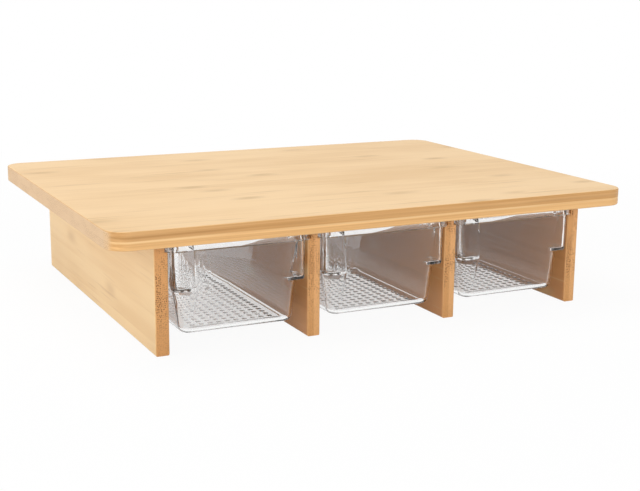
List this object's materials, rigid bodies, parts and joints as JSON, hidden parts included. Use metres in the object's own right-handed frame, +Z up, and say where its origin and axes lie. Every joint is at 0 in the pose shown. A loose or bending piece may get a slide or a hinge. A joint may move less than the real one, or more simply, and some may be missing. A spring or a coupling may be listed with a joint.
{
  "type": "cutting board with drawer trays",
  "caption": "Rectangular bamboo cutting board raised on upright panels, with clear lidless trays that slide out on their rims from the bays underneath.",
  "frame": {"origin": "on the surface it stands on, under the middle of the board", "axes": "+X to the right along the board's long side, -Y towards the open front that the trays pull out of, +Z up"},
  "size_m": [0.45, 0.34, 0.098],
  "materials": {
    "board_upper": "oiled bamboo, long flat strips, satin",
    "board_lower": "oiled bamboo, long flat strips, satin",
    "panel_outer": "oiled bamboo, vertical board face, satin",
    "panel_inner": "oiled bamboo, vertical board face, satin",
    "clear_tray": "clear moulded plastic, polished, with an embossed grid on the floor"
  },
  "bodies": {
    "board_frame": {"board_upper_ply": "board_upper", "board_lower_ply": "board_lower", "left_end_panel_left_ply": "panel_outer", "left_end_panel_right_ply": "panel_inner", "left_divider_left_ply": "panel_inner", "left_divider_right_ply": "panel_inner", "right_divider_left_ply": "panel_inner", "right_divider_right_ply": "panel_inner", "right_end_panel_left_ply": "panel_inner", "right_end_panel_right_ply": "panel_outer"},
    "left_tray_body": {"left_tray": "clear_tray"},
    "middle_tray_body": {"middle_tray": "clear_tray"},
    "right_tray_body": {"right_tray": "clear_tray"}
  },
  "joints": [
    {"name": "left_tray_slide", "type": "slide", "parent": "board_frame", "child": "left_tray_body", "axis": [0, -1, 0], "range_m": [0, 0.328]},
    {"name": "middle_tray_slide", "type": "slide", "parent": "board_frame", "child": "middle_tray_body", "axis": [0, -1, 0], "range_m": [0, 0.328]},
    {"name": "right_tray_slide", "type": "slide", "parent": "board_frame", "child": "right_tray_body", "axis": [0, -1, 0], "range_m": [0, 0.328]}
  ]
}
